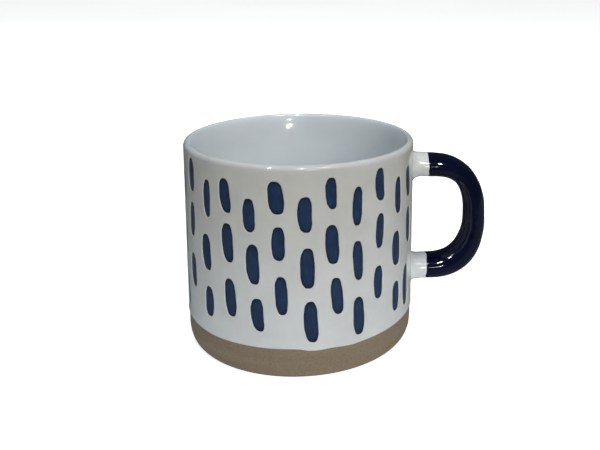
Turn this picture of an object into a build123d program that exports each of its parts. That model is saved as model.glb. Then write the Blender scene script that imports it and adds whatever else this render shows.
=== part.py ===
"""Hand-thrown stoneware mug with a loop handle, white glaze and brushed cobalt strokes.

Millimetres, +Z up. The axis of the cup is the Z axis, the foot stands on z = 0 and the
handle leaves the wall in the +X direction. The fired clay pieces come first, then the
glaze coats and the painted strokes that lie on them. Every coat is its own thin solid and
touches the clay exactly.
"""

from build123d import *

import math
import os

os.makedirs("parts", exist_ok=True)

# ---- driving dimensions: the thrown clay cup ----
LOW_RADIUS = 47.9           # clay wall where the base curve ends
LOW_HEIGHT = 7.6
RIM_RADIUS = 47.9           # clay wall where the rim curve starts
RIM_BASE = 84.7
LIP_WALL = 3.1              # clay thickness at the lip, fully rounded over
LIP_RADIUS = LIP_WALL / 2
BORE_TOP = RIM_RADIUS - LIP_WALL
BORE_LOW = 43.2             # inside radius where the floor curve starts
FLOOR_CURVE = 9.0
FLOOR_Z = 6.0
FOOT_OUTER = 43.4
FOOT_INNER = 38.2
FOOT_RECESS = 1.6

# ---- driving dimensions: glaze and paint ----
GLAZE = 0.35
GLAZE_LINE = 13.4           # lower edge of the white glaze, bare clay below it
GLAZE_ROLL = 0.45           # height of the rounded lower edge
PIGMENT = 0.12
PAINT_LOW = 14.8
PAINT_HIGH = 84.5

# ---- driving dimensions: the handle ----
HANDLE_WIDTH = 14.4
ARM_START = 45.0
COLLAR_END = 54.1           # the white glaze stops here and the cobalt glaze starts
UPPER_Z = 73.8              # middle of the upper arm where it leaves the wall
UPPER_BEND = 57.0
UPPER_DROP = 0.45
GRIP_X = 75.95
GRIP_TOP = 51.1
GRIP_LOW = 48.2
LOWER_Z = 27.5
LOWER_BEND = 57.3
UPPER_PULL = (0.65, 0.68)   # how far the two bends keep their first and last direction
LOWER_PULL = (0.32, 0.84)
HANDLE_THICKNESS = (        # share of the way round, thickness there
    (0.0, 10.3),
    (0.13, 10.2),
    (0.2, 9.6),
    (0.29, 8.95),
    (0.4, 9.15),
    (0.5, 9.4),
    (0.56, 9.55),
    (0.65, 10.7),
    (0.72, 11.35),
    (0.79, 11.4),
    (0.87, 11.0),
    (1.0, 11.0),
)

# ---- driving dimensions: the clay worked over the two joints, as x, z, half width, half height ----
ROOT_UPPER = (
    (45.0, 72.9, 9.1, 7.2),
    (48.6, 73.15, 8.4, 6.6),
    (50.7, 73.45, 7.6, 5.7),
    (53.6, 73.5, 7.3, 5.25),
)
ROOT_LOWER = (
    (45.0, 27.6, 9.1, 7.5),
    (48.6, 27.6, 8.4, 6.8),
    (50.7, 27.55, 7.6, 6.05),
    (53.6, 27.5, 7.3, 5.7),
)

# ---- painted strokes: angle, top, bottom, width, lean, bow ----
# Angles are degrees round the cup from -Y toward +X, where the stroke's middle lies.
# Lean moves the top sideways and bow moves both ends, in millimetres toward +angle.
COLUMN_STEP = 12.86
FRONT_COLUMNS = (
    (-75.4, (
        (-75.9, 78.3, 62.7, 6.0, 0.5, 0.2),
        (-76.1, 55.9, 39.5, 6.0, 0.0, 0.2),
        (-75.4, 34.0, 17.5, 6.4, -1.0, 0.2),
    )),
    (-62.4, (
        (-62.9, 83.6, 70.1, 5.4, -0.3, 0.2),
        (-63.5, 65.4, 51.3, 5.3, 0.7, 0.0),
        (-63.6, 43.7, 29.8, 5.5, -0.6, 0.3),
    )),
    (-48.5, (
        (-48.4, 77.6, 62.6, 4.2, -0.0, 0.4),
        (-49.9, 55.1, 40.5, 5.7, -0.9, 0.5),
        (-48.7, 33.5, 21.0, 5.3, 0.1, -0.1),
    )),
    (-35.1, (
        (-36.3, 79.8, 66.4, 5.2, -1.3, 0.3),
        (-35.4, 62.2, 46.6, 5.3, -0.9, 0.4),
        (-34.5, 39.8, 24.4, 5.2, -1.0, 0.2),
    )),
    (-21.9, (
        (-23.7, 73.3, 60.2, 5.0, -0.3, 0.2),
        (-22.2, 55.4, 39.4, 5.4, -0.6, 0.4),
        (-20.3, 33.7, 20.4, 5.2, -1.0, 0.7),
    )),
    (-9.9, (
        (-10.9, 80.7, 68.0, 6.0, -1.1, 0.2),
        (-10.0, 63.0, 49.7, 5.1, -0.1, 0.1),
        (-8.9, 43.3, 27.8, 4.8, -0.6, 0.0),
    )),
    (3.3, (
        (2.1, 74.8, 60.9, 5.4, -0.3, 0.6),
        (3.1, 54.6, 38.5, 5.5, -0.3, 0.4),
        (4.6, 33.1, 16.3, 5.4, -0.9, 0.2),
    )),
    (15.2, (
        (14.1, 81.8, 69.5, 4.3, -0.6, 0.4),
        (14.5, 63.2, 47.6, 5.3, -0.8, 0.3),
        (16.8, 41.8, 26.8, 4.8, -1.2, 0.1),
    )),
    (27.4, (
        (27.0, 76.9, 61.5, 4.2, 0.4, 0.1),
        (27.4, 55.3, 39.2, 4.4, -0.8, 0.1),
        (28.0, 32.1, 16.3, 4.9, -0.5, 0.1),
    )),
    (39.8, (
        (40.1, 82.4, 69.3, 4.8, -0.8, 0.5),
        (40.3, 64.1, 50.0, 4.3, 0.6, 0.0),
        (39.5, 42.6, 28.9, 4.6, -0.0, 0.3),
    )),
    (53.4, (
        (54.3, 76.3, 61.1, 4.6, -0.5, 0.5),
        (53.2, 53.8, 39.3, 5.8, -0.5, 0.3),
        (53.4, 32.3, 19.6, 5.1, 0.0, 0.0),
    )),
    (65.9, (
        (66.8, 78.3, 65.2, 5.9, -2.0, 0.2),
        (67.8, 60.7, 45.4, 6.0, -0.9, 0.2),
        (64.4, 36.3, 18.4, 5.5, -0.2, 0.3),
    )),
)
BACK_COUNT = 16
BACK_SHIFT = 4              # the unseen columns repeat the front ones from this index on
HANDLE_ANGLE = 90.0
ROOT_CLEAR_ANGLE = 13.3     # no stroke this near the handle plane across a root
ROOT_UPPER_BAND = (64.0, 83.5)
ROOT_LOWER_BAND = (18.0, 37.5)
STROKE_ROUNDNESS = 2.8
STROKE_POINTS = 16


def near_root(angle, top, bottom):
    """True where a stroke would run under one of the two handle joints."""
    if abs(angle - HANDLE_ANGLE) > ROOT_CLEAR_ANGLE:
        return False
    crosses_upper = top > ROOT_UPPER_BAND[0] and bottom < ROOT_UPPER_BAND[1]
    crosses_lower = top > ROOT_LOWER_BAND[0] and bottom < ROOT_LOWER_BAND[1]
    return crosses_upper or crosses_lower


def all_columns():
    """The 28 columns round the cup, each a list of strokes."""
    columns = [list(strokes) for _, strokes in FRONT_COLUMNS]
    last_angle = FRONT_COLUMNS[-1][0]
    for index in range(BACK_COUNT):
        angle = last_angle + COLUMN_STEP * (index + 1)
        source_angle, source = FRONT_COLUMNS[(index + BACK_SHIFT) % len(FRONT_COLUMNS)]
        moved = [(row[0] - source_angle + angle, *row[1:]) for row in source]
        columns.append([row for row in moved if not near_root(*row[:3])])
    return columns


def stroke_outline(top, bottom, width, lean, bow):
    """Points round one brush stroke, about its own middle."""
    half = (top - bottom) / 2
    power = 2 / STROKE_ROUNDNESS
    points = []
    for index in range(STROKE_POINTS):
        turn = 2 * math.pi * index / STROKE_POINTS
        across = math.copysign(abs(math.cos(turn)) ** power, math.cos(turn))
        along = math.copysign(abs(math.sin(turn)) ** power, math.sin(turn))
        shift = lean * along / 2 + bow * (along * along - 0.35)
        points.append((across * width / 2 + shift, half * along))
    return points


def ellipse_plane(x, z):
    """A section plane square to the handle arm."""
    return Plane(origin=(x, 0, z), x_dir=(0, 1, 0), z_dir=(1, 0, 0))


# ---- the clay cup ----
with BuildPart() as cup:
    with BuildSketch(Plane.XZ):
        with BuildLine():
            Polyline((0, FOOT_RECESS), (FOOT_INNER - 1.4, FOOT_RECESS), (FOOT_INNER, 0), (FOOT_OUTER, 0))
            Bezier((FOOT_OUTER, 0), (FOOT_OUTER + 2.4, 0), (LOW_RADIUS, 3.2), (LOW_RADIUS, LOW_HEIGHT))
            Line((LOW_RADIUS, LOW_HEIGHT), (RIM_RADIUS, RIM_BASE))
            ThreePointArc(
                (RIM_RADIUS, RIM_BASE), (RIM_RADIUS - LIP_RADIUS, RIM_BASE + LIP_RADIUS), (BORE_TOP, RIM_BASE)
            )
            Line((BORE_TOP, RIM_BASE), (BORE_LOW, FLOOR_Z + FLOOR_CURVE))
            ThreePointArc(
                (BORE_LOW, FLOOR_Z + FLOOR_CURVE),
                (
                    BORE_LOW - FLOOR_CURVE * (1 - math.sqrt(0.5)),
                    FLOOR_Z + FLOOR_CURVE * (1 - math.sqrt(0.5)),
                ),
                (BORE_LOW - FLOOR_CURVE, FLOOR_Z),
            )
            Polyline((BORE_LOW - FLOOR_CURVE, FLOOR_Z), (0, FLOOR_Z), (0, FOOT_RECESS))
        make_face()
    revolve(axis=Axis.Z)


def wall_radius(z):
    """Outside radius of the clay wall at height z."""
    share = (z - LOW_HEIGHT) / (RIM_BASE - LOW_HEIGHT)
    return LOW_RADIUS + (RIM_RADIUS - LOW_RADIUS) * share


# ---- the handle: clay core, and the same sweep grown by the glaze ----
def handle_sweep(grow):
    """The handle loop as one solid, its section grown by the given coat."""
    upper_z = UPPER_Z - UPPER_DROP
    upper_reach = GRIP_X - UPPER_BEND
    upper_rise = upper_z - GRIP_TOP
    lower_reach = GRIP_X - LOWER_BEND
    lower_fall = GRIP_LOW - LOWER_Z
    with BuildPart() as loop:
        with BuildLine() as path:
            Line((ARM_START, 0, UPPER_Z), (UPPER_BEND, 0, upper_z))
            Bezier(
                (UPPER_BEND, 0, upper_z),
                (UPPER_BEND + UPPER_PULL[0] * upper_reach, 0, upper_z),
                (GRIP_X, 0, GRIP_TOP + UPPER_PULL[1] * upper_rise),
                (GRIP_X, 0, GRIP_TOP),
            )
            Line((GRIP_X, 0, GRIP_TOP), (GRIP_X, 0, GRIP_LOW))
            Bezier(
                (GRIP_X, 0, GRIP_LOW),
                (GRIP_X, 0, GRIP_LOW - LOWER_PULL[0] * lower_fall),
                (LOWER_BEND + LOWER_PULL[1] * lower_reach, 0, LOWER_Z),
                (LOWER_BEND, 0, LOWER_Z),
            )
            Line((LOWER_BEND, 0, LOWER_Z), (ARM_START, 0, LOWER_Z))
        wire = path.wires()[0]
        for place, thick in HANDLE_THICKNESS:
            with BuildSketch(Plane(origin=wire @ place, x_dir=(0, 1, 0), z_dir=wire % place)):
                Ellipse(HANDLE_WIDTH / 2 + grow, thick / 2 + grow)
        sweep(path=wire, multisection=True)
    return loop.part


def root_loft(stations, grow, end_x):
    """The flare where an arm meets the wall, as a loft through ellipses, carried on to end_x."""
    rows = list(stations)
    last = rows[-1]
    if end_x > last[0]:
        rows.append((end_x, last[1], last[2], last[3]))
    with BuildPart() as flare:
        for x, z, half_width, half_height in rows:
            with BuildSketch(ellipse_plane(x, z)):
                Ellipse(half_width + grow, half_height + grow)
        loft()
    return flare.part


clay_loop = handle_sweep(-GLAZE)
glazed_loop = handle_sweep(0)
root_stations = {"upper": ROOT_UPPER, "lower": ROOT_LOWER}
clay_roots = {name: root_loft(rows, -GLAZE, 0) for name, rows in root_stations.items()}
white_roots = {name: root_loft(rows, 0, COLLAR_END) for name, rows in root_stations.items()}

with BuildPart() as wall_core:
    with BuildSketch(Plane.XZ):
        with BuildLine():
            Polyline(
                (0, FOOT_RECESS),
                (LOW_RADIUS, LOW_HEIGHT),
                (RIM_RADIUS, RIM_BASE),
                (0, RIM_BASE),
                close=True,
            )
        make_face()
    revolve(axis=Axis.Z)

with BuildPart() as handle:
    add(clay_loop)
    add(wall_core.part, mode=Mode.SUBTRACT)

root_fillets = {}
for name, solid in clay_roots.items():
    with BuildPart() as root_fillet:
        add(solid)
        add([wall_core.part, clay_loop], mode=Mode.SUBTRACT)
    root_fillets[name] = root_fillet.part

# ---- the painted strokes: prisms first, then the thin skin of pigment they leave ----
columns = all_columns()
column_prisms = []
for strokes in columns:
    prisms = []
    for angle, top, bottom, width, lean, bow in strokes:
        turn = math.radians(angle - 90)
        outward = (math.cos(turn), math.sin(turn), 0)
        around = (-math.sin(turn), math.cos(turn), 0)
        start = Vector(outward) * (RIM_RADIUS - 4) + Vector(0, 0, (top + bottom) / 2)
        with BuildPart() as prism:
            with BuildSketch(Plane(origin=start, x_dir=around, z_dir=outward)):
                with BuildLine():
                    Spline(*stroke_outline(top, bottom, width, lean, bow), periodic=True)
                make_face()
            extrude(amount=6)
        prisms.append(prism.part)
    column_prisms.append(prisms)

with BuildPart() as pigment_skin:
    with BuildSketch(Plane.XZ):
        with BuildLine():
            Polyline(
                (wall_radius(PAINT_LOW), PAINT_LOW),
                (wall_radius(PAINT_LOW) + PIGMENT, PAINT_LOW),
                (wall_radius(PAINT_HIGH) + PIGMENT, PAINT_HIGH),
                (wall_radius(PAINT_HIGH), PAINT_HIGH),
                close=True,
            )
        make_face()
    revolve(axis=Axis.Z)

stroke_columns = []
for prisms in column_prisms:
    with BuildPart() as stroke_column:
        add(prisms)
        add(pigment_skin.part, mode=Mode.INTERSECT)
    stroke_columns.append(stroke_column.part)

# ---- the glaze coats, which meet on the crest of the lip ----
CLAY_CREST = (RIM_RADIUS - LIP_RADIUS, RIM_BASE + LIP_RADIUS)
GLAZE_CREST = (RIM_RADIUS - LIP_RADIUS, RIM_BASE + LIP_RADIUS + GLAZE)
line_radius = wall_radius(GLAZE_LINE)
with BuildPart() as body_glaze:
    with BuildSketch(Plane.XZ):
        with BuildLine():
            Line((line_radius, GLAZE_LINE), (RIM_RADIUS, RIM_BASE))
            JernArc((RIM_RADIUS, RIM_BASE), (0, 1), LIP_RADIUS, 90)
            Line(CLAY_CREST, GLAZE_CREST)
            JernArc(GLAZE_CREST, (1, 0), LIP_RADIUS + GLAZE, -90)
            Line((RIM_RADIUS + GLAZE, RIM_BASE), (line_radius + GLAZE, GLAZE_LINE + GLAZE_ROLL))
            Bezier(
                (line_radius + GLAZE, GLAZE_LINE + GLAZE_ROLL),
                (line_radius + GLAZE, GLAZE_LINE),
                (line_radius, GLAZE_LINE),
            )
        make_face()
    revolve(axis=Axis.Z)
    add(list(white_roots.values()), mode=Mode.SUBTRACT)
    add([prism for prisms in column_prisms for prism in prisms], mode=Mode.SUBTRACT)

with BuildPart() as liner_glaze:
    with BuildSketch(Plane.XZ):
        with BuildLine():
            Line(CLAY_CREST, GLAZE_CREST)
            JernArc(GLAZE_CREST, (-1, 0), LIP_RADIUS + GLAZE, 90)
            Line((BORE_TOP - GLAZE, RIM_BASE), (BORE_LOW - GLAZE, FLOOR_Z + FLOOR_CURVE))
            JernArc((BORE_LOW - GLAZE, FLOOR_Z + FLOOR_CURVE), (0, -1), FLOOR_CURVE - GLAZE, -90)
            Line((BORE_LOW - FLOOR_CURVE, FLOOR_Z + GLAZE), (0, FLOOR_Z + GLAZE))
            Line((0, FLOOR_Z + GLAZE), (0, FLOOR_Z))
            Line((0, FLOOR_Z), (BORE_LOW - FLOOR_CURVE, FLOOR_Z))
            JernArc((BORE_LOW - FLOOR_CURVE, FLOOR_Z), (1, 0), FLOOR_CURVE, 90)
            Line((BORE_LOW, FLOOR_Z + FLOOR_CURVE), (BORE_TOP, RIM_BASE))
            JernArc((BORE_TOP, RIM_BASE), (0, 1), LIP_RADIUS, -90)
        make_face()
    revolve(axis=Axis.Z)

root_collars = {}
for name, solid in white_roots.items():
    with BuildPart() as root_collar:
        add(solid)
        add([wall_core.part, clay_roots[name], clay_loop], mode=Mode.SUBTRACT)
    root_collars[name] = root_collar.part

with BuildPart() as handle_glaze:
    add(glazed_loop)
    add(clay_loop, mode=Mode.SUBTRACT)
    split(bisect_by=Plane.YZ.offset(COLLAR_END), keep=Keep.TOP)

# ---- one file for each piece ----
pieces = {
    "stoneware_cup": cup.part,
    "stoneware_handle": handle.part,
    "root_fillet_upper": root_fillets["upper"],
    "root_fillet_lower": root_fillets["lower"],
    "body_glaze": body_glaze.part,
    "liner_glaze": liner_glaze.part,
    "root_collar_upper": root_collars["upper"],
    "root_collar_lower": root_collars["lower"],
    "handle_glaze": handle_glaze.part,
}
for index, column in enumerate(stroke_columns):
    pieces[f"stroke_column_{index + 1:02d}"] = column

for name, piece in pieces.items():
    piece.label = name
    export_step(piece, f"parts/{name}.step")
    print(name, round(piece.volume, 2), len(piece.solids()))
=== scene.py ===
"""Hand-thrown stoneware mug: glaze, brushed strokes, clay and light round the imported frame."""

import math

import bmesh
import bpy
import numpy as np
from mathutils import Matrix, Vector, geometry, noise


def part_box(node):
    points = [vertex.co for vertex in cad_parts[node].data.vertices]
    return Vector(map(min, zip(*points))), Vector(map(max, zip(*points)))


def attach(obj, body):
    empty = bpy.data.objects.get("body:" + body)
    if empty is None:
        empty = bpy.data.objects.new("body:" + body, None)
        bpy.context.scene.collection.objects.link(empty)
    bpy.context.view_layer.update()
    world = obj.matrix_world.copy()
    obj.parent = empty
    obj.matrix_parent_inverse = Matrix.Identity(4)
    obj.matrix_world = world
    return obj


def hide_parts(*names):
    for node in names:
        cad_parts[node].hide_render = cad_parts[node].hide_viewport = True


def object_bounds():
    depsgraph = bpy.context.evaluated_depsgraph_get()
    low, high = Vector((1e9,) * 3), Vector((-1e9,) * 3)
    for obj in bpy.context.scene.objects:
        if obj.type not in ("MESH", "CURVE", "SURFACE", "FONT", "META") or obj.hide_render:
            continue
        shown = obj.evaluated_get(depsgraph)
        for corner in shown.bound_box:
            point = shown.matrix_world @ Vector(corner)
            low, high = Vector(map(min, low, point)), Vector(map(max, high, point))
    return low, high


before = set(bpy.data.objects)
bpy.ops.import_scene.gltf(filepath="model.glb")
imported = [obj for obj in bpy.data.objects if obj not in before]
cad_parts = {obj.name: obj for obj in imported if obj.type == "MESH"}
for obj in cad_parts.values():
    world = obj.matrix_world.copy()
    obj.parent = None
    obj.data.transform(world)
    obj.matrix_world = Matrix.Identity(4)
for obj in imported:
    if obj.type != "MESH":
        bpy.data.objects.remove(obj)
cad_low, cad_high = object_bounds()

MM = 0.001

# ---- sizes in millimetres, read from the frame where it holds them ----
GLAZE = 0.35  # thickness of the white coat
PIGMENT = 0.12  # thickness of the paint
RIM_TOP = round(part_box("liner_glaze")[1].z / MM, 2)
WALL_RADIUS = round(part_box("stoneware_cup")[1].y / MM, 2)
LIP_RADIUS = 1.55
LIP_GLAZED = LIP_RADIUS + GLAZE
RIM_BASE = RIM_TOP - LIP_GLAZED
LIP_CENTRE = WALL_RADIUS - LIP_RADIUS
BORE_TOP = LIP_CENTRE - LIP_RADIUS
BORE_LOW = BORE_TOP - 1.6
FLOOR_Z = 6.0
FLOOR_CURVE = 9.0
BORE_FOOT = FLOOR_Z + FLOOR_CURVE
FOOT_OUTER = 43.4
FOOT_INNER = 38.2
FOOT_RECESS = 1.6

TURN_STEPS = 288  # segments round the cup

# ---- painted strokes, with the same rows as the CAD ----
# A column is its angle and its strokes. A stroke is its angle, top, bottom, width, lean and bow.
# A program worked these rows out from a picture.
COLUMN_STEP = 12.86
FRONT_COLUMNS = (
    (-75.4, (
        (-75.9, 78.3, 62.7, 6.0, 0.5, 0.2),
        (-76.1, 55.9, 39.5, 6.0, 0.0, 0.2),
        (-75.4, 34.0, 17.5, 6.4, -1.0, 0.2),
    )),
    (-62.4, (
        (-62.9, 83.6, 70.1, 5.4, -0.3, 0.2),
        (-63.5, 65.4, 51.3, 5.3, 0.7, 0.0),
        (-63.6, 43.7, 29.8, 5.5, -0.6, 0.3),
    )),
    (-48.5, (
        (-48.4, 77.6, 62.6, 4.2, -0.0, 0.4),
        (-49.9, 55.1, 40.5, 5.7, -0.9, 0.5),
        (-48.7, 33.5, 21.0, 5.3, 0.1, -0.1),
    )),
    (-35.1, (
        (-36.3, 79.8, 66.4, 5.2, -1.3, 0.3),
        (-35.4, 62.2, 46.6, 5.3, -0.9, 0.4),
        (-34.5, 39.8, 24.4, 5.2, -1.0, 0.2),
    )),
    (-21.9, (
        (-23.7, 73.3, 60.2, 5.0, -0.3, 0.2),
        (-22.2, 55.4, 39.4, 5.4, -0.6, 0.4),
        (-20.3, 33.7, 20.4, 5.2, -1.0, 0.7),
    )),
    (-9.9, (
        (-10.9, 80.7, 68.0, 6.0, -1.1, 0.2),
        (-10.0, 63.0, 49.7, 5.1, -0.1, 0.1),
        (-8.9, 43.3, 27.8, 4.8, -0.6, 0.0),
    )),
    (3.3, (
        (2.1, 74.8, 60.9, 5.4, -0.3, 0.6),
        (3.1, 54.6, 38.5, 5.5, -0.3, 0.4),
        (4.6, 33.1, 16.3, 5.4, -0.9, 0.2),
    )),
    (15.2, (
        (14.1, 81.8, 69.5, 4.3, -0.6, 0.4),
        (14.5, 63.2, 47.6, 5.3, -0.8, 0.3),
        (16.8, 41.8, 26.8, 4.8, -1.2, 0.1),
    )),
    (27.4, (
        (27.0, 76.9, 61.5, 4.2, 0.4, 0.1),
        (27.4, 55.3, 39.2, 4.4, -0.8, 0.1),
        (28.0, 32.1, 16.3, 4.9, -0.5, 0.1),
    )),
    (39.8, (
        (40.1, 82.4, 69.3, 4.8, -0.8, 0.5),
        (40.3, 64.1, 50.0, 4.3, 0.6, 0.0),
        (39.5, 42.6, 28.9, 4.6, -0.0, 0.3),
    )),
    (53.4, (
        (54.3, 76.3, 61.1, 4.6, -0.5, 0.5),
        (53.2, 53.8, 39.3, 5.8, -0.5, 0.3),
        (53.4, 32.3, 19.6, 5.1, 0.0, 0.0),
    )),
    (65.9, (
        (66.8, 78.3, 65.2, 5.9, -2.0, 0.2),
        (67.8, 60.7, 45.4, 6.0, -0.9, 0.2),
        (64.4, 36.3, 18.4, 5.5, -0.2, 0.3),
    )),
)
BACK_COUNT = 16  # columns on the rest of the wall, which repeat the front ones
BACK_SHIFT = 4  # the repeat starts with the front column of this index
HANDLE_ANGLE = 90.0
ROOT_CLEAR_ANGLE = 13.3  # strokes this close to the handle stay off its two joints
ROOT_BANDS = ((64.0, 83.5), (18.0, 37.5))  # the heights that the joints take up

STROKE_ROUNDNESS = 2.8  # 2 would be an ellipse, and more is squarer
STROKE_SAMPLES = 72
FINE_SAMPLES = 720
BOW_CENTRE = 0.35  # keeps a bowed stroke centred on its angle
WOBBLE = ((0.06, 3, 1.7), (0.05, 7, 2.9), (0.03, 13, 1.0))  # size, waves round a stroke, shift
WOBBLE_ALONG = 0.6  # the ends of a stroke wobble less than its sides


def near_root(angle, top, bottom):
    """True if a stroke would lie on one of the handle's joints."""
    if abs(angle - HANDLE_ANGLE) > ROOT_CLEAR_ANGLE:
        return False
    return any(top > band_low and bottom < band_high for band_low, band_high in ROOT_BANDS)


def all_columns():
    """The strokes of every column in order: the front ones, then their repeats round the back."""
    columns = [list(strokes) for _, strokes in FRONT_COLUMNS]
    last_angle = FRONT_COLUMNS[-1][0]
    for index in range(BACK_COUNT):
        angle = last_angle + COLUMN_STEP * (index + 1)
        source_angle, source = FRONT_COLUMNS[(index + BACK_SHIFT) % len(FRONT_COLUMNS)]
        moved = [(row[0] - source_angle + angle, *row[1:]) for row in source]
        columns.append([row for row in moved if not near_root(*row[:3])])
    return columns


# ---- the wall: a place on it is an angle and a height along its profile ----
WALL_SPREAD = math.radians(1) * (WALL_RADIUS + GLAZE)  # millimetres of wall to one degree
CUT_ANGLE = -172.3  # where the unrolled wall is cut, between two columns at the back


def wall_frame(angle, along):
    """Point on the clay, outward normal, and the two tangents, for arrays of places."""
    angle = np.radians(np.asarray(angle, float) - 90)
    along = np.asarray(along, float)
    bend = np.maximum(along - RIM_BASE, 0) / LIP_GLAZED
    straight = along <= RIM_BASE
    radius = np.where(straight, WALL_RADIUS, LIP_CENTRE + LIP_RADIUS * np.cos(bend))
    height = np.where(straight, along, RIM_BASE + LIP_RADIUS * np.sin(bend))
    out = np.stack([np.cos(angle), np.sin(angle), np.zeros_like(angle)], -1)
    sideways = np.stack([-np.sin(angle), np.cos(angle), np.zeros_like(angle)], -1)
    up = np.zeros_like(out)
    up[..., 2] = 1
    normal = out * np.cos(bend)[..., None] + up * np.sin(bend)[..., None]
    rise = up * np.cos(bend)[..., None] - out * np.sin(bend)[..., None]
    point = out * radius[..., None] + up * height[..., None]
    return point, normal, sideways, rise


def stroke_ring(row, seed, grow):
    """Places round one stroke, grown outward, and the outward direction at each."""
    _, top, bottom, width, lean, bow = row
    turn = np.linspace(0, 2 * math.pi, FINE_SAMPLES, endpoint=False)
    power = 2 / STROKE_ROUNDNESS
    across = np.copysign(np.abs(np.cos(turn)) ** power, np.cos(turn))
    along = np.copysign(np.abs(np.sin(turn)) ** power, np.sin(turn))
    wobble = sum(size * np.sin(waves * turn + seed * shift) for size, waves, shift in WOBBLE)
    x = across * (width / 2 + grow + wobble) + lean * along / 2 + bow * (along * along - BOW_CENTRE)
    y = along * ((top - bottom) / 2 + grow + wobble * WOBBLE_ALONG)
    step = np.hypot(np.diff(x, append=x[0]), np.diff(y, append=y[0]))
    walked = np.concatenate([[0], np.cumsum(step)])
    marks = np.linspace(0, walked[-1], STROKE_SAMPLES, endpoint=False)
    x = np.interp(marks, walked, np.append(x, x[0]))
    y = np.interp(marks, walked, np.append(y, y[0]))
    dx = np.roll(x, -1) - np.roll(x, 1)
    dy = np.roll(y, -1) - np.roll(y, 1)
    size = np.hypot(dx, dy)
    return x, y + (top + bottom) / 2, dy / size, -dx / size


# ---- curves and meshes ----
def bezier(a, b, c, d, count):
    """Places along the curve from a to d that b and c pull."""
    a, b, c, d = (np.array(place, float) for place in (a, b, c, d))
    t = np.linspace(0, 1, count)[:, None]
    return (1 - t) ** 3 * a + 3 * t * (1 - t) ** 2 * b + 3 * t * t * (1 - t) * c + t ** 3 * d


def quarter_turns(steps):
    """Angles from nought to a right angle, both included."""
    return [math.pi / 2 * i / steps for i in range(steps + 1)]


def softened(values, width, ends):
    """Values with their corners eased over width samples. Ends is how numpy pads the row."""
    kernel = np.hanning(width)
    padded = np.pad(values, width // 2, mode=ends)
    return np.convolve(padded, kernel / kernel.sum(), mode="valid")


def make_piece(name, points, faces, material, nodes, normals=None):
    """A shown mesh in metres from points in millimetres, riding on the mug's one body."""
    mesh = bpy.data.meshes.new(name)
    mesh.from_pydata([tuple(p) for p in np.asarray(points, float) * MM], [], faces)
    mesh.update()
    mesh.validate()
    mesh.polygons.foreach_set("use_smooth", [True] * len(mesh.polygons))
    if normals is not None:
        mesh.normals_split_custom_set_from_vertices([tuple(n) for n in normals])
    mesh.materials.append(material)
    piece = bpy.data.objects.new(name, mesh)
    bpy.context.scene.collection.objects.link(piece)
    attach(piece, "root")
    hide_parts(*nodes)
    return piece


def band_faces(lower, upper):
    """Quads between two closed rings of the same length."""
    count = len(lower)
    return [(lower[i], lower[(i + 1) % count], upper[(i + 1) % count], upper[i]) for i in range(count)]


def lathe(profile, ripple):
    """Points and faces of a profile of (radius, height) turned about Z. Radius 0 makes a pole."""
    points, rows = [], []
    for radius, height in profile:
        if radius == 0:
            rows.append([len(points)])
            points.append((0, 0, height))
            continue
        row = []
        for i in range(TURN_STEPS):
            turn = 2 * math.pi * i / TURN_STEPS
            grown = radius + ripple(turn, height, radius)
            row.append(len(points))
            points.append((grown * math.cos(turn), grown * math.sin(turn), height))
        rows.append(row)
    faces = []
    for lower, upper in zip(rows, rows[1:]):
        if len(lower) == 1:
            faces += [(lower[0], upper[(i + 1) % TURN_STEPS], upper[i]) for i in range(TURN_STEPS)]
        elif len(upper) == 1:
            faces += [(lower[i], lower[(i + 1) % TURN_STEPS], upper[0]) for i in range(TURN_STEPS)]
        else:
            faces += band_faces(lower, upper)
    return points, faces


# ---- materials: bump distances are in metres, and noise scales are per metre ----
PLAIN = (1, 1, 1)


def shader(name):
    """A new material: its nodes, its links and its Principled shader."""
    material = bpy.data.materials.new(name)
    material.use_nodes = True
    tree = material.node_tree
    return material, tree.nodes, tree.links, tree.nodes["Principled BSDF"]


def object_coordinates(nodes, links, scale):
    """Object coordinates stretched by scale, which keeps patterns fixed to the mug."""
    source = nodes.new("ShaderNodeTexCoord")
    mapping = nodes.new("ShaderNodeMapping")
    mapping.inputs["Scale"].default_value = scale
    links.new(source.outputs["Object"], mapping.inputs["Vector"])
    return mapping.outputs["Vector"]


def noise_node(nodes, links, vector, scale, detail, roughness=0.5):
    """A cloudy value between 0 and 1."""
    node = nodes.new("ShaderNodeTexNoise")
    node.inputs["Scale"].default_value = scale
    node.inputs["Detail"].default_value = detail
    node.inputs["Roughness"].default_value = roughness
    links.new(vector, node.inputs["Vector"])
    return node.outputs["Fac"]


def ramp_node(nodes, links, factor, stops):
    """A colour that runs through stops of (place, colour) as the factor rises."""
    node = nodes.new("ShaderNodeValToRGB")
    elements = node.color_ramp.elements
    while len(elements) < len(stops):
        elements.new(0.5)
    for element, (place, colour) in zip(elements, stops):
        element.position = place
        element.color = (*colour, 1)
    links.new(factor, node.inputs["Fac"])
    return node.outputs["Color"]


def mix_node(nodes, links, blend, base):
    """A mix over the base colour. The caller joins up its Factor, its B and its Result."""
    node = nodes.new("ShaderNodeMix")
    node.data_type = "RGBA"
    node.blend_type = blend
    links.new(base, node.inputs["A"])
    return node


def weighted_node(nodes, links, first, second, share):
    """The first value times share, plus the second times the rest."""
    rest = nodes.new("ShaderNodeMath")
    rest.operation = "MULTIPLY"
    rest.inputs[1].default_value = 1 - share
    links.new(second, rest.inputs[0])
    both = nodes.new("ShaderNodeMath")
    both.operation = "MULTIPLY_ADD"
    both.inputs[1].default_value = share
    links.new(first, both.inputs[0])
    links.new(rest.outputs[0], both.inputs[2])
    return both.outputs[0]


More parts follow.
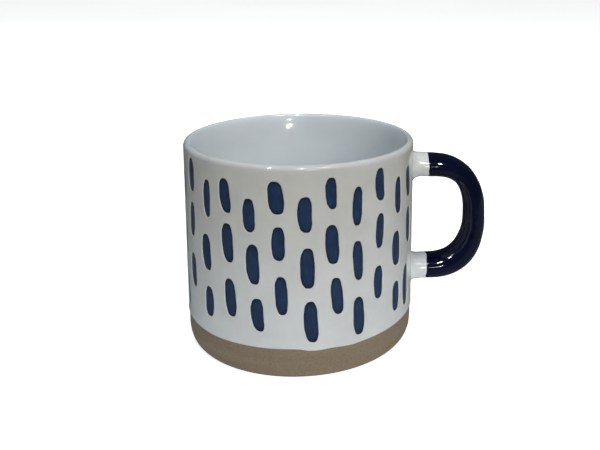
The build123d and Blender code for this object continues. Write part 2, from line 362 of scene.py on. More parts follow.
def finish(nodes, links, surface, layers, roughness, ior):
    """Sets the surface's gloss, and its relief from layers of (height, distance, strength)."""
    surface.inputs["Roughness"].default_value = roughness
    surface.inputs["IOR"].default_value = ior
    below = None
    for height, distance, strength in layers:
        bump = nodes.new("ShaderNodeBump")
        bump.inputs["Strength"].default_value = strength
        bump.inputs["Distance"].default_value = distance
        links.new(height, bump.inputs["Height"])
        if below is not None:
            links.new(below, bump.inputs["Normal"])
        below = bump.outputs["Normal"]
    links.new(below, surface.inputs["Normal"])


def white_glaze(name, deep, light, upper_shade):
    """Pale glaze clouded from a deep to a light colour, with painted shade that makes the upper wall darker
    and more straw, as strong as upper_shade, and plain again at the lip.
    """
    material, nodes, links, surface = shader(name)
    plain = object_coordinates(nodes, links, PLAIN)
    clouds = noise_node(nodes, links, plain, scale=70, detail=5.0, roughness=0.6)
    colour = ramp_node(nodes, links, clouds, ((0.32, deep), (0.66, light)))
    split = nodes.new("ShaderNodeSeparateXYZ")
    upward = object_coordinates(nodes, links, (1, 1, 1 / cad_high.z))
    links.new(upward, split.inputs["Vector"])
    # Painted shade: from four tenths of the height up the colour turns darker and more straw, for the dimmer,
    # warmer light on the upper wall, and it is plain again at the lip.
    untinted, upper_shade_colour = (1, 1, 1), (0.965, 0.955, 0.895)
    stops = ((0.4, untinted), (0.9, upper_shade_colour), (0.955, upper_shade_colour), (0.98, untinted))
    tint = ramp_node(nodes, links, split.outputs["Z"], stops)
    upper_shaded = mix_node(nodes, links, "MULTIPLY", colour)
    upper_shaded.inputs["Factor"].default_value = upper_shade
    links.new(tint, upper_shaded.inputs["B"])
    links.new(upper_shaded.outputs["Result"], surface.inputs["Base Color"])
    waves = noise_node(nodes, links, plain, scale=60, detail=1.0)
    grain = noise_node(nodes, links, plain, scale=900, detail=2.0)
    layers = ((waves, 0.00025, 0.4), (grain, 0.00001, 0.25))
    finish(nodes, links, surface, layers, roughness=0.12, ior=1.5)
    return material


def cobalt_glaze():
    """Nearly black blue glaze, glossier than the white."""
    material, nodes, links, surface = shader("cobalt_glaze")
    plain = object_coordinates(nodes, links, PLAIN)
    clouds = noise_node(nodes, links, plain, scale=90, detail=4.0)
    stops = ((0.3, (0.0018, 0.0030, 0.015)), (0.7, (0.0030, 0.0048, 0.025)))
    links.new(ramp_node(nodes, links, clouds, stops), surface.inputs["Base Color"])
    waves = noise_node(nodes, links, plain, scale=110, detail=1.0)
    grain = noise_node(nodes, links, plain, scale=1200, detail=2.0)
    layers = ((waves, 0.0003, 0.5), (grain, 0.00002, 0.3))
    finish(nodes, links, surface, layers, roughness=0.07, ior=1.5)
    return material


def cobalt_pigment():
    """Brushed paint: streaks along the stroke, blots, and painted shade that darkens its edge, where the
    glaze's opening shades the sunken paint.
    """
    material, nodes, links, surface = shader("cobalt_pigment")
    streaked = object_coordinates(nodes, links, (1, 1, 0.18))
    plain = object_coordinates(nodes, links, PLAIN)
    streaks = noise_node(nodes, links, streaked, scale=1400, detail=3.0, roughness=0.6)
    blots = noise_node(nodes, links, plain, scale=260, detail=3.0)
    mottle = weighted_node(nodes, links, streaks, blots, share=0.45)
    stops = ((0.34, (0.009, 0.025, 0.070)), (0.52, (0.014, 0.038, 0.102)), (0.68, (0.021, 0.051, 0.133)))
    recess_shade_mix = mix_node(nodes, links, "MIX", ramp_node(nodes, links, mottle, stops))
    # Painted shade: the paint turns darker toward the edge of its opening in the glaze, where the recess is
    # shaded.
    edge = nodes.new("ShaderNodeAttribute")
    edge.attribute_name = "recess_shade_edge"
    links.new(edge.outputs["Fac"], recess_shade_mix.inputs["Factor"])
    recess_shade_mix.inputs["B"].default_value = (0.0035, 0.007, 0.022, 1)
    links.new(recess_shade_mix.outputs["Result"], surface.inputs["Base Color"])
    grain = noise_node(nodes, links, plain, scale=2400, detail=2.0)
    layers = ((streaks, 0.00008, 0.5), (grain, 0.00003, 0.5))
    finish(nodes, links, surface, layers, roughness=0.32, ior=1.5)
    return material


def bare_clay():
    """Matt fired clay, banded round the pot and grainy."""
    material, nodes, links, surface = shader("bare_clay")
    plain = object_coordinates(nodes, links, PLAIN)
    banded = object_coordinates(nodes, links, (0.25, 0.25, 4.0))
    clouds = noise_node(nodes, links, banded, scale=70, detail=4.0)
    grains = noise_node(nodes, links, plain, scale=1500, detail=3.0, roughness=0.65)
    mottle = weighted_node(nodes, links, grains, clouds, share=0.55)
    stops = ((0.35, (0.197, 0.141, 0.090)), (0.5, (0.240, 0.177, 0.117)), (0.66, (0.283, 0.213, 0.145)))
    links.new(ramp_node(nodes, links, mottle, stops), surface.inputs["Base Color"])
    layers = ((clouds, 0.0002, 0.5), (grains, 0.00006, 0.8))
    finish(nodes, links, surface, layers, roughness=0.85, ior=1.4)
    return material


glaze_white = white_glaze("white_glaze", (0.650, 0.636, 0.622), (0.712, 0.698, 0.684), upper_shade=1.0)
# The collars' copy of the white glaze is lighter than the wall's: partly a thicker coat of glaze, partly
# painted light for the brighter light round the collars.
collar_glaze_lit = white_glaze("collar_glaze", (0.745, 0.745, 0.745), (0.805, 0.81, 0.815), upper_shade=0.8)
# The inside copy of the white glaze is lighter and bluer than the wall's: painted light for the cool, bright
# light inside the cup.
inside_glaze_lit = white_glaze("inside_glaze", (0.742, 0.768, 0.792), (0.782, 0.808, 0.832), upper_shade=0.0)
glaze_cobalt = cobalt_glaze()
paint_cobalt = cobalt_pigment()
clay = bare_clay()

# ---- the clay cup, closed all round ----
LIP_STEPS = 12
CORNER_STEPS = 14
LIP_FOOT = RIM_BASE - 9.0  # the lip's inner side is a long soft curve that ends here
CREST_POWER = 0.72  # below 1 the crest of the lip is blunter than an oval's
UNDERSIDE_RADII = (0, 18, 30)
FOOT_EDGE = ((-1.9, FOOT_RECESS), (-1.3, FOOT_RECESS - 0.15), (-0.6, 0.55), (-0.1, 0.1), (0.5, 0))
HEEL_OUT = 2.4  # the pulls on the curve that rises from the foot to the wall
HEEL_UP = 3.2
HEEL_TOP = 7.6  # where that curve ends
BAND_TOP = 17.0  # the throwing rings end here, under the glaze
RING_STEP = 0.4
WALL_HEIGHTS = (20, 30, 45, 60, 75)
CUP_BORE_STEPS = 4
CUP_FLOOR_RADII = (20, 0)
RINGS = ((0.035, 4.3, 0.8, 0), (0.025, 7.9, 2, 1))  # size, pitch, sway round the pot, shift
RIPPLE_DRIFT = 0.05
RIPPLE_SET_BACK = 0.03
RIPPLE_FLAT = 0.02  # nothing this low ripples
RIPPLE_FADE = 2.0


def inside_profile(inset, bore_steps, floor_radii):
    """The section inside from the lip's crest down to the middle of the floor, moved in by the inset."""
    reach = LIP_RADIUS + inset
    rows = []
    for turn in quarter_turns(LIP_STEPS):
        rise = math.cos(turn) ** CREST_POWER
        rows.append((LIP_CENTRE - reach * math.sin(turn), LIP_FOOT + (RIM_BASE + reach - LIP_FOOT) * rise))
    for i in range(1, bore_steps):
        share = i / bore_steps
        radius = BORE_TOP - inset + (BORE_LOW - BORE_TOP) * share
        rows.append((radius, LIP_FOOT + (BORE_FOOT - LIP_FOOT) * share))
    corner = FLOOR_CURVE - inset
    for turn in quarter_turns(CORNER_STEPS):
        rows.append((BORE_LOW - FLOOR_CURVE + corner * math.cos(turn), BORE_FOOT - corner * math.sin(turn)))
    return rows + [(radius, FLOOR_Z + inset) for radius in floor_radii]


def cup_profile():
    """The clay section from the middle of the foot, out, up, over the lip and down to the floor."""
    rows = [(radius, FOOT_RECESS) for radius in UNDERSIDE_RADII]
    rows += [(FOOT_INNER + offset, height) for offset, height in FOOT_EDGE]
    heel = ((FOOT_OUTER, 0), (FOOT_OUTER + HEEL_OUT, 0), (WALL_RADIUS, HEEL_UP), (WALL_RADIUS, HEEL_TOP))
    rows += [tuple(place) for place in bezier(*heel, CORNER_STEPS + 1)]
    height = HEEL_TOP + RING_STEP
    while height < BAND_TOP + 1:
        rows.append((WALL_RADIUS, height))
        height += RING_STEP
    rows += [(WALL_RADIUS, height) for height in WALL_HEIGHTS]
    for turn in quarter_turns(LIP_STEPS)[:-1]:
        rows.append((LIP_CENTRE + LIP_RADIUS * math.cos(turn), RIM_BASE + LIP_RADIUS * math.sin(turn)))
    return rows + inside_profile(0, CUP_BORE_STEPS, CUP_FLOOR_RADII)


def clay_ripple(turn, height, radius):
    """Throwing rings and a slight unevenness on the bare band, which fade out toward the flat foot."""
    if height > BAND_TOP or height < RIPPLE_FLAT or radius < FOOT_INNER:
        return 0
    rings = sum(
        size * math.sin(height * pitch + sway * math.sin(turn + shift)) for size, pitch, sway, shift in RINGS
    )
    drift = RIPPLE_DRIFT * noise.noise(Vector((3 * math.cos(turn), 3 * math.sin(turn), height * 0.5)))
    return (rings + drift - RIPPLE_SET_BACK) * min(1, height / RIPPLE_FADE)


points, faces = lathe(cup_profile(), clay_ripple)
make_piece("clay_cup", points, faces, clay, ["stoneware_cup"])

# ---- the glaze on the outside wall ----
GLAZE_LINE = (
    (-185, 13.4), (-165, 13.2), (-150, 13.4), (-120, 13.5), (-100, 13.3), (-84, 13.5),
    (-71, 13.65), (-60, 13.6), (-45, 13.35), (-30, 13.55), (-15, 13.6), (-4, 13.7),
    (0, 13.55), (3, 12.8), (8, 12.7), (14, 13.1), (19, 12.95), (24, 12.7),
    (31, 13.1), (45, 13.45), (60, 13.75), (71, 13.8), (82, 13.4), (92, 13.5),
    (104, 13.2), (116, 13.3), (135, 13.3), (160, 13.5), (175, 13.4),
)
LINE_SAMPLES = 1441
LINE_EASE = 25

# A rolled edge is rows of (distance from the edge, height over the clay).
EDGE_ROLL = (
    (0, 0.0), (0.04, 0.14), (0.12, 0.25), (0.28, 0.34),
    (0.5, 0.41), (0.8, 0.42), (1.2, 0.39), (1.7, GLAZE),
)
OPENING_ROLL = (
    (0.0, 0.0), (0.03, 0.13), (0.10, 0.24), (0.20, 0.33),
    (0.36, 0.385), (0.6, 0.375), (0.9, GLAZE),
)
SOFT_OPENING = 0.55  # the glaze thins out toward a stroke more softly than its mesh can show

LATTICE_TURN = 2.5  # degrees from one line of the net's inner points to the next
LATTICE_RISE = 3.0
LATTICE_START = 1.6  # how far the inner points stay from the lower roll, the rim and other points
LATTICE_RIM = 1.0
LATTICE_GAP = 0.8
SEAM_RIM = 1.5  # how far the points on the cut stay from the rim
NET_EPSILON = 1e-6
CREST_STEPS = 9
TINY = 1e-12  # stands in for nought in a division


def line_height(angle):
    """The wavy lower edge of the white glaze, smooth through the rows of GLAZE_LINE."""
    angles = np.array([row[0] for row in GLAZE_LINE], float)
    heights = np.array([row[1] for row in GLAZE_LINE], float)
    angle = (np.asarray(angle, float) - angles[0]) % 360 + angles[0]
    fine = np.linspace(angles[0], angles[-1], LINE_SAMPLES)
    return np.interp(angle, fine, softened(np.interp(fine, angles, heights), LINE_EASE, "wrap"))


def roll_slope(roll):
    """Rate of rise of a rolled edge at each of its rows."""
    offsets = np.array([row[0] for row in roll])
    heights = np.array([row[1] for row in roll])
    return np.gradient(heights, offsets)


def lies_inside(place, outline):
    """True if the place lies in the closed outline."""
    low, high = outline.min(0), outline.max(0)
    if (place < low).any() or (place > high).any():
        return False
    x, y = place
    ax, ay = outline.T
    bx, by = np.roll(outline, -1, axis=0).T
    crosses = (ay > y) != (by > y)
    reach = ax + (y - ay) / np.where(by == ay, TINY, by - ay) * (bx - ax)
    return bool((crosses & (x < reach)).sum() % 2)


class Coat:
    """The outside coat: its points, its faces, and the flat net that fills in between rolled edges."""

    def __init__(self):
        self.places = []
        self.faces = []
        self.net_points = []
        self.net_owners = []
        self.net_edges = []
        self.holes = []

    def put(self, angle, along, height=GLAZE, slope=0.0, away=(0.0, 0.0)):
        """A point over the wall, with the slope of its roll and the direction away from the edge."""
        self.places.append((angle, along, height, slope, *away))
        return len(self.places) - 1

    def join_net(self, point, turned=0):
        """Puts a point of the coat on the unrolled wall, turned on by some degrees."""
        angle, along = self.places[point][:2]
        self.net_owners.append(point)
        self.net_points.append(Vector(((angle - CUT_ANGLE + turned) * WALL_SPREAD, along)))
        return len(self.net_points) - 1

    def tie(self, line):
        """Edges of the net from each place of a line to the next."""
        self.net_edges.extend(zip(line, line[1:]))

    def flat(self, line):
        """The unrolled places of a line of the net."""
        return np.array([tuple(self.net_points[k]) for k in line])

    def stitch(self, rings):
        """Faces between each ring and the next."""
        for lower, upper in zip(rings, rings[1:]):
            self.faces.extend(band_faces(lower, upper))


def add_opening(coat, row, seed):
    """The rolled opening round one stroke. Its outer ring is a hole in the net."""
    centre = (row[0] - CUT_ANGLE) % 360 + CUT_ANGLE
    rings = []
    for (grow, height), slope in zip(OPENING_ROLL, roll_slope(OPENING_ROLL) * SOFT_OPENING):
        x, y, out_x, out_y = stroke_ring(row, seed, grow)
        places = zip(centre + x / WALL_SPREAD, y, out_x, out_y)
        rings.append([coat.put(a, b, height, slope, (c, d)) for a, b, c, d in places])
    coat.stitch(rings[::-1])
    outline = [coat.join_net(point) for point in rings[-1]]
    coat.tie(outline + outline[:1])
    coat.holes.append((outline, coat.flat(outline)))


def add_borders(coat, turns):
    """The rolled lower edge, the line under the lip, and the cut between them as the net's two sides."""
    line = line_height(turns)
    rows = []
    for (grow, height), slope in zip(EDGE_ROLL, roll_slope(EDGE_ROLL)):
        rows.append([coat.put(a, z + grow, height, slope, (0.0, 1.0)) for a, z in zip(turns, line)])
    coat.stitch(rows)
    bottom = rows[-1]
    top = [coat.put(a, RIM_BASE) for a in turns]
    seam_start = coat.places[bottom[0]][1] + LATTICE_RISE
    seam = [coat.put(CUT_ANGLE, z) for z in np.arange(seam_start, RIM_BASE - SEAM_RIM, LATTICE_RISE)]
    low = [coat.join_net(point) for point in bottom]
    high = [coat.join_net(point) for point in top]
    left = [low[0], *[coat.join_net(point) for point in seam], high[0]]
    right = [coat.join_net(coat.net_owners[k], 360) for k in left]
    for line in (low + right[:1], high + right[-1:], left, right):
        coat.tie(line)
    return coat.flat(low + right[:1]), top


def add_lattice(coat):
    """Points all over the net, clear of its edges and its holes."""
    fixed = coat.flat(range(len(coat.net_points)))
    turns = np.arange(CUT_ANGLE + LATTICE_TURN, CUT_ANGLE + 360 - LATTICE_TURN / 2, LATTICE_TURN)
    for i, a in enumerate(turns):
        z = float(line_height(a)) + EDGE_ROLL[-1][0] + LATTICE_START + (LATTICE_RISE / 2 if i % 2 else 0)
        while z < RIM_BASE - LATTICE_RIM:
            place = np.array(((a - CUT_ANGLE) * WALL_SPREAD, z))
            gap = np.hypot(*(fixed - place).T).min()
            if gap > LATTICE_GAP and not any(lies_inside(place, outline) for _, outline in coat.holes):
                coat.join_net(coat.put(a, z))
            z += LATTICE_RISE


def fill_net(coat, border):
    """Triangles over the net, without those in a stroke's opening or under the lower border."""
    made = geometry.delaunay_2d_cdt(coat.net_points, coat.net_edges, [], 0, NET_EPSILON)
    triangles, origins = made[2:4]
    hole_of = {k: index for index, (line, _) in enumerate(coat.holes) for k in line}
    for triangle in triangles:
        source = [origins[k][0] for k in triangle]
        middle = coat.flat(source).mean(axis=0)
        if middle[1] < np.interp(middle[0], border[:, 0], border[:, 1]):
            continue
        touched = {hole_of.get(k) for k in source}
        hole = touched.pop() if len(touched) == 1 else None
        if hole is not None and lies_inside(middle, coat.holes[hole][1]):
            continue
        corners = [coat.net_owners[k] for k in source]
        a, b, c = (coat.net_points[k] for k in source)
        if (b - a).cross(c - a) < 0:
            corners.reverse()
        coat.faces.append(tuple(corners))


def build_wall():
    """The outside coat from its wavy lower edge to the lip's crest, with its points' normals."""
    coat = Coat()
    rows = [row for column in all_columns() for row in column]
    for seed, row in enumerate(rows, 1):
        add_opening(coat, row, seed)
    turns = np.linspace(CUT_ANGLE, CUT_ANGLE + 360, TURN_STEPS, endpoint=False)
    border, top = add_borders(coat, turns)
    add_lattice(coat)
    fill_net(coat, border)
    crest = math.pi / 2 * LIP_GLAZED
    lip = [[coat.put(a, RIM_BASE + crest * t) for a in turns] for t in np.linspace(0, 1, CREST_STEPS)[1:]]
    coat.stitch([top, *lip])
    places = np.array(coat.places)
    point, normal, sideways, rise = wall_frame(places[:, 0], places[:, 1])
    height, slope, aside, upward = (places[:, k, None] for k in range(2, 6))
    shading = normal - (sideways * aside + rise * upward) * slope
    shading /= np.linalg.norm(shading, axis=1)[:, None]
    return point + normal * height, coat.faces, shading


points, faces, shading = build_wall()
make_piece("wall_glaze", points, faces, glaze_white, ["body_glaze"], shading)

# ---- the painted strokes, one piece for each upright column ----
SHRINK = (1.0, 0.93, 0.84, 0.66, 0.4, 0.15)  # rings of a stroke, as shares of its outline
PAINT_GROW = 0.06  # the paint runs this far under the glaze
EDGE_THIN = 0.03  # and is this much thinner at its edge
RECESS_SHADE_FROM = 0.7  # the share where the painted shade at its edge begins
RECESS_SHADE_POWER = 1.5


def build_strokes(column, first_seed):
    """The paint of one column, with how much painted shade each point gets for being near the edge of its
    opening.
    """
    points, faces, edge = [], [], []
    for seed, row in enumerate(column, first_seed):
        x, y, _, _ = stroke_ring(row, seed, PAINT_GROW)
        middle = (row[1] + row[2]) / 2
        rings = []
        for share in SHRINK:
            centre, normal, _, _ = wall_frame(row[0] + x * share / WALL_SPREAD, middle + (y - middle) * share)
            rings.append(list(range(len(points), len(points) + len(x))))
            points.extend(centre + normal * (PIGMENT - EDGE_THIN * share ** 4))
            # how much painted shade each ring gets, darkest at the edge of the opening
            edge.extend([max(0.0, (share - RECESS_SHADE_FROM) / (1 - RECESS_SHADE_FROM)) ** RECESS_SHADE_POWER] * len(x))
        for outer, inner in zip(rings, rings[1:]):
            faces.extend(band_faces(outer, inner))
        tip, normal, _, _ = wall_frame([row[0]], [middle])
        points.extend(tip + normal * PIGMENT)
        edge.append(0.0)
        last = rings[-1]
        faces.extend((last[i], last[(i + 1) % len(last)], len(points) - 1) for i in range(len(last)))
    return points, faces, edge


seed = 1
for number, column in enumerate(all_columns(), 1):
    points, faces, edge = build_strokes(column, seed)
    seed += len(column)
    name = f"brush_strokes_{number:02d}"
    piece = make_piece(name, points, faces, paint_cobalt, [f"stroke_column_{number:02d}"])
    layer = piece.data.attributes.new("recess_shade_edge", "FLOAT", "POINT")
    layer.data.foreach_set("value", edge)

# ---- the glaze inside ----
LINER_STEPS = 57
LINER_WAVES = ((0.03, 0.6, 1), (0.012, 1.3, 2))  # size, pitch, twist
LINER_DRIFT = 0.10
LINER_FADE = 12
LINER_FLOOR_RADII = (30, 26, 22, 18, 14, 10, 6, 3, 0)


def liner_ripple(turn, height, radius):
    """Soft throwing marks left under the glaze, the same at every radius."""
    if height > LIP_FOOT:
        return 0
    wave = sum(size * math.sin(height * pitch + twist * turn) for size, pitch, twist in LINER_WAVES)
    drift = LINER_DRIFT * noise.noise(Vector((1.5 * math.cos(turn), 1.5 * math.sin(turn), height * 0.08)))
    return (wave + drift) * min(1, (LIP_FOOT - height) / LINER_FADE)


points, faces = lathe(inside_profile(GLAZE, LINER_STEPS, LINER_FLOOR_RADII), liner_ripple)
inside_piece = make_piece("inside_glaze", points, faces, inside_glaze_lit, ["liner_glaze"])

# ---- the handle ----
HALF_WIDTH = 7.2
UPPER_Z = 73.8
UPPER_BEND = 57.0
UPPER_DROP = 0.45
GRIP_X = 75.95
GRIP_TOP = 51.1
GRIP_LOW = 48.2
LOWER_Z = 27.5
LOWER_BEND = 57.3
ARM_START = 45.0
UPPER_PULL = (0.65, 0.68)
LOWER_PULL = (0.32, 0.84)
THICKNESS = (  # share of the way round the loop, and the section's thickness there
    (0.0, 10.3), (0.13, 10.2), (0.2, 9.6), (0.29, 8.95), (0.4, 9.15), (0.5, 9.4),
    (0.56, 9.55), (0.65, 10.7), (0.72, 11.35), (0.79, 11.4), (0.87, 11.0), (1.0, 11.0),
)
THICKNESS_EASE = 19
COLLAR_END = round(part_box("handle_glaze")[0].x / MM, 1)
SECTION_STEPS = 72
SECTION_TURNS = [2 * math.pi * k / SECTION_STEPS for k in range(SECTION_STEPS)]
PATH_STEPS = 181
BEND_STEPS = 60
JOIN_PASSES = 6  # take out the faint kinks where runs and bends join
LUMPS = ((0.16, 9), (0.05, 3.1))  # size and reach of the hand-made unevenness


def handle_path():
    """Places along the handle's middle line in the XZ plane, evenly spaced, with their tangents."""
    upper = UPPER_Z - UPPER_DROP
    upper_bend = (
        (UPPER_BEND, upper),
        (UPPER_BEND + UPPER_PULL[0] * (GRIP_X - UPPER_BEND), upper),
        (GRIP_X, GRIP_TOP + UPPER_PULL[1] * (upper - GRIP_TOP)),
        (GRIP_X, GRIP_TOP),
    )
    lower_bend = (
        (GRIP_X, GRIP_LOW),
        (GRIP_X, GRIP_LOW - LOWER_PULL[0] * (GRIP_LOW - LOWER_Z)),
        (LOWER_BEND + LOWER_PULL[1] * (GRIP_X - LOWER_BEND), LOWER_Z),
        (LOWER_BEND, LOWER_Z),
    )
    bends = [bezier(*bend, BEND_STEPS) for bend in (upper_bend, lower_bend)]
    line = np.concatenate([[(ARM_START, UPPER_Z)], *bends, [(ARM_START, LOWER_Z)]])
    walked = np.concatenate([[0], np.cumsum(np.hypot(*np.diff(line, axis=0).T))])
    marks = np.linspace(0, walked[-1], PATH_STEPS)
    places = np.stack([np.interp(marks, walked, line[:, k]) for k in (0, 1)], -1)
    for _ in range(JOIN_PASSES):
        places[1:-1] = (places[:-2] + 2 * places[1:-1] + places[2:]) / 4
    tangents = np.gradient(places, axis=0)
    tangents /= np.linalg.norm(tangents, axis=1)[:, None]
    return places, tangents, marks / walked[-1]


path_places, path_tangents, path_shares = handle_path()
path_thick = np.interp(path_shares, [row[0] for row in THICKNESS], [row[1] for row in THICKNESS])
path_thick = softened(path_thick, THICKNESS_EASE, "edge")


def lump(x, y, z, size, reach):
    """A smooth swelling or hollow that differs from place to place."""
    return size * noise.noise(Vector((x / reach, y / reach, z / reach)))


def section(place, tangent, thick, grow):
    """Points round the handle's oval section at one place of its path."""
    outward = np.array((-tangent[1], tangent[0]))  # to the outside of the loop
    ring = []
    for turn in SECTION_TURNS:
        side = (HALF_WIDTH + grow) * math.cos(turn)
        rise = (thick / 2 + grow) * math.sin(turn)
        x = place[0] + outward[0] * rise
        z = place[1] + outward[1] * rise
        shift = sum(lump(x, side, z, size, reach) for size, reach in LUMPS)
        x += outward[0] * shift * math.sin(turn)
        z += outward[1] * shift * math.sin(turn)
        ring.append((x, side + shift * math.cos(turn), z))
    return ring


def tube(rows):
    """Points and faces of an open tube through rings of SECTION_STEPS points."""
    points = [place for row in rows for place in row]
    starts = range(0, len(points), SECTION_STEPS)
    rings = [range(start, start + SECTION_STEPS) for start in starts]
    faces = []
    for lower, upper in zip(rings, rings[1:]):
        faces += band_faces(lower, upper)
    return points, faces


END_GROW = (-0.25, 0.0, 0.04)  # the coat's swell in its last row, the one before and all others
END_KEEP = (1.0, 1.0, 0.6, 0.3)  # how much of the end's waviness each row from the end has
END_WAVES = ((0.22, 2, 1), (0.12, 5, 2), (0.06, 9, 0))  # size, waves round the section, shift


def cobalt_handle():
    """The coloured run of the handle, its two ends rolled over the white glaze."""
    run = [i for i in range(len(path_places)) if path_places[i][0] >= COLLAR_END]
    first, last = run[0], run[-1]
    rows = []
    for i in range(first, last + 1):
        grow = END_GROW[min(i - first, last - i, len(END_GROW) - 1)]
        rows.append(section(path_places[i], path_tangents[i], path_thick[i], grow))
    for end in (0, -1):
        for depth, keep in enumerate(END_KEEP):
            index = depth if end == 0 else -1 - depth
            moved = []
            for turn, (x, y, z) in zip(SECTION_TURNS, rows[index]):
                wave = sum(size * math.sin(waves * turn + shift * end) for size, waves, shift in END_WAVES)
                moved.append((x + wave * keep, y, z))
            rows[index] = moved
    points, faces = tube(rows)
    faces.append(tuple(range(SECTION_STEPS))[::-1])
    faces.append(tuple(range(len(points) - SECTION_STEPS, len(points))))
    return points, faces


points, faces = cobalt_handle()
make_piece("handle_cobalt", points, faces, glaze_cobalt, ["handle_glaze", "stoneware_handle"])

# ---- the white collars where the handle joins the wall ----
ROOT_SINK = 0.15  # the upper joint sits this much below its arm
FLARE_SIDE = 1.5
COLLARS = {
    "upper": {"middle": UPPER_Z - ROOT_SINK, "flare_out": 1.15, "flare_in": 2.4, "length": 4.4},
    "lower": {"middle": LOWER_Z, "flare_out": 1.3, "flare_in": 1.3, "length": 3.6},
}
FILLET_STEPS = 12
COLLAR_TUCK = 1.6  # how far a collar runs on under the cobalt
WALL_TUCK = 0.06  # and how far its first ring lies in the wall
ARM_GAP = 0.3  # between a fillet's end and the arm's next ring
ROOT_X = 49


def wall_reach(y):
    """How far out in +X the glazed wall lies at y."""
    radius = WALL_RADIUS + GLAZE
    return math.sqrt(max(radius * radius - y * y, 0))


def white_collar(which):
    """A collar: a hollow fillet that leaves the wall flush with it and runs out along the arm."""
    sizes = COLLARS[which]
    upper = which == "upper"
    arm = [i for i in range(len(path_places)) if path_places[i][0] <= COLLAR_END + COLLAR_TUCK]
    arm = [i for i in arm if (path_places[i][1] > GRIP_TOP) == upper]
    arm = sorted(arm, key=lambda i: path_places[i][0])
    root = min(arm, key=lambda i: abs(path_places[i][0] - WALL_RADIUS))
    rows = []
    for step, turn in enumerate(quarter_turns(FILLET_STEPS)):
        row = []
        for spin in SECTION_TURNS:
            up = math.sin(spin)
            loop_flare = sizes["flare_out"] if (up > 0) == upper else sizes["flare_in"]
            grow = math.hypot(FLARE_SIDE * math.cos(spin), loop_flare * up) * (1 - math.sin(turn))
            y = (HALF_WIDTH + grow) * math.cos(spin)
            z = sizes["middle"] + (path_thick[root] / 2 + grow) * up
            shift = lump(ROOT_X, y, z, *LUMPS[0]) * step / FILLET_STEPS
            y += shift * math.cos(spin)
            z += shift * up
            x = wall_reach(y) + sizes["length"] * (1 - math.cos(turn)) - (WALL_TUCK if step == 0 else 0)
            row.append((x, y, z))
        rows.append(row)
    reach = max(place[0] for place in rows[-1])
    for i in arm:
        if path_places[i][0] > reach + ARM_GAP:
            tangent = path_tangents[i] if upper else -path_tangents[i]
            rows.append(section(path_places[i], tangent, path_thick[i], 0))
    return tube(rows)


for which in COLLARS:
    points, faces = white_collar(which)
    nodes = [f"root_collar_{which}", f"root_fillet_{which}"]
    make_piece(f"collar_glaze_{which}", points, faces, collar_glaze_lit, nodes)

# ---- floor, light and camera, in metres ----
ROOM = 6.0
TABLE_REACH = 0.17
FLOOR_DROP = 0.00005
TABLE_DROP = 0.0002
SHEEN_LIFT = 0.0004


def plane_mesh(name, reach):
    """A flat square on the plane z = 0."""
    mesh = bpy.data.meshes.new(name)
    corners = [(-reach, -reach, 0), (reach, -reach, 0), (reach, reach, 0), (-reach, reach, 0)]
    mesh.from_pydata(corners, [], [(0, 1, 2, 3)])
    return mesh


def sphere_mesh(name, radius):
    """A sphere round the origin."""
    mesh = bpy.data.meshes.new(name)
    shell = bmesh.new()
    bmesh.ops.create_uvsphere(shell, u_segments=48, v_segments=24, radius=radius)
    shell.to_mesh(mesh)
    shell.free()
    return mesh


def stage_piece(name, mesh, dark, light, glow, tint=(1, 1, 1), drop=0.0):
    """One piece of the set: a plain pale surface that glows."""
    material, nodes, links, surface = shader(name)
    plain = object_coordinates(nodes, links, PLAIN)
    clouds = noise_node(nodes, links, plain, scale=3, detail=2.0)
    stops = [(place, tuple(shade * t for t in tint)) for place, shade in ((0.3, dark), (0.7, light))]
    pale = ramp_node(nodes, links, clouds, stops)
    links.new(pale, surface.inputs["Base Color"])
    links.new(pale, surface.inputs["Emission Color"])
    surface.inputs["Emission Strength"].default_value = glow
    surface.inputs["Roughness"].default_value = 0.9
    surface.inputs["Specular IOR Level"].default_value = 0.0
    mesh.materials.append(material)
    piece = bpy.data.objects.new(name, mesh)
    piece.location.z = cad_low.z - drop
    piece.visible_glossy = False
    bpy.context.scene.collection.objects.link(piece)
    return piece


def build_stage():
    """White to the eye all round, while a duller table top gives the light that comes back up."""
    floor = stage_piece("floor", plane_mesh("floor", ROOM), 0.86, 0.88, glow=0.95, drop=FLOOR_DROP)
    tent = stage_piece("tent", sphere_mesh("tent", ROOM), 0.98, 1.0, glow=1.1)
    for piece in (floor, tent):
        piece.visible_diffuse = False
        piece.visible_shadow = False
    square = plane_mesh("table", TABLE_REACH)
    table = stage_piece("table", square, 0.82, 0.86, glow=0.50, tint=(0.88, 0.95, 1.0), drop=TABLE_DROP)
    table.visible_camera = False


def area_light(name, place, target, colour, size, power, diffuse=False):
    """A square light that shows either as light on the mug or only as a gleam in its glaze."""
    data = bpy.data.lights.new(name, "AREA")
    data.energy = power
    data.color = colour
    data.size = size
    light = bpy.data.objects.new(name, data)
    light.location = place
    direction = Vector(target) - Vector(place)
    light.rotation_euler = direction.to_track_quat("-Z", "Y").to_euler()
    light.visible_camera = False
    light.visible_diffuse = diffuse
    light.visible_glossy = not diffuse
    bpy.context.scene.collection.objects.link(light)
    return light


def light_place(distance, azimuth, elevation):
    """A place in metres, its azimuth in degrees from the front of the mug toward the handle."""
    turn, rise = math.radians(azimuth), math.radians(elevation)
    flat = distance * math.cos(rise)
    return (flat * math.sin(turn), -flat * math.cos(turn), distance * math.sin(rise))


def build_room_light():
    """The dim room, and the two lamps that light the mug without showing in its glaze."""
    world = bpy.data.worlds.new("studio")
    bpy.context.scene.world = world
    world.use_nodes = True
    background = world.node_tree.nodes["Background"]
    background.inputs["Color"].default_value = (1.0, 0.97, 0.90, 1)
    background.inputs["Strength"].default_value = 0.045
    area_light("top", (0.0, -0.1, 1.3), (0, 0, 0), (0.81, 0.935, 1.0), size=0.8, power=11.0, diffuse=True)
    lamp = light_place(1.4, 19, 28)
    area_light("key", lamp, (0, 0, 0.04), (1, 0.975, 0.93), size=0.6, power=8.0, diffuse=True)


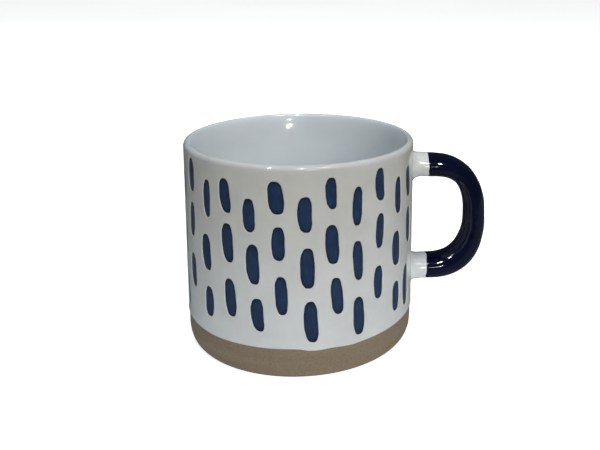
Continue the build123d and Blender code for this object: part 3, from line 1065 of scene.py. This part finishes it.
def build_gleams():
    """The lamps that only show as gleams, all aimed at the upper part of the mug."""
    upper = (0, 0, 0.07)
    lamp_white = (1, 0.99, 0.96)
    for number, azimuth in enumerate((-35, 2, 28), 1):
        area_light(f"spot_{number}", light_place(1.2, azimuth, 52), upper, lamp_white, size=0.07, power=4.2)
    area_light("spot_4", light_place(1.2, 11, 16), upper, lamp_white, size=0.02, power=1.6)
    area_light("window", light_place(1.3, 11.5, 16), upper, (1, 0.97, 0.90), size=0.07, power=0.5)


def build_inside_gleam():
    """The broad gleam inside, from a lamp that lights the inside glaze alone and casts no shadow."""
    lamp = light_place(1.3, 11.5, 0)
    gleam = area_light("gleam", lamp, (0, 0, 0.08), (1, 0.93, 0.82), size=0.17, power=2.8)
    gleam.data.use_shadow = False
    gleam.data.cycles.use_multiple_importance_sampling = False
    receivers = bpy.data.collections.new("gleam_receivers")
    receivers.objects.link(inside_piece)
    gleam.light_linking.receiver_collection = receivers


def build_sheens():
    """The pale table to the right and left, as the glaze mirrors it."""
    ground = cad_low.z + SHEEN_LIFT
    for side, x, y, power in (("right", 0.30, 0.10, 0.09), ("left", -0.30, 0.08, 0.06)):
        area_light(f"sheen_{side}", (x, y, ground), (x, y, 1), (1, 1, 0.98), size=0.5, power=power)


CAMERA_PLACE = (0, -0.3464, 0.1697)
CAMERA_PITCH = 11.703
CAMERA_YAW = 5.278
CAMERA_ROLL = 0.557
SENSOR_WIDTH = 36
LENS = 50.226
LENS_SHIFT = (-0.125, -0.1916667)


def build_camera():
    """The camera that the view from the front is seen through."""
    data = bpy.data.cameras.new("camera")
    camera = bpy.data.objects.new("camera", data)
    bpy.context.scene.collection.objects.link(camera)
    data.sensor_width = SENSOR_WIDTH
    data.lens = LENS
    data.shift_x, data.shift_y = LENS_SHIFT
    pitch, yaw, roll = (math.radians(angle) for angle in (CAMERA_PITCH, CAMERA_YAW, CAMERA_ROLL))
    forward = Vector((math.sin(yaw) * math.cos(pitch), math.cos(yaw) * math.cos(pitch), -math.sin(pitch)))
    camera.location = CAMERA_PLACE
    turn = forward.to_track_quat("-Z", "Y").to_matrix() @ Matrix.Rotation(roll, 3, "Z")
    camera.rotation_euler = turn.to_euler()
    bpy.context.scene.camera = camera


build_stage()
build_room_light()
build_gleams()
build_inside_gleam()
build_sheens()
build_camera()
bpy.context.scene.view_settings.view_transform = "Standard"
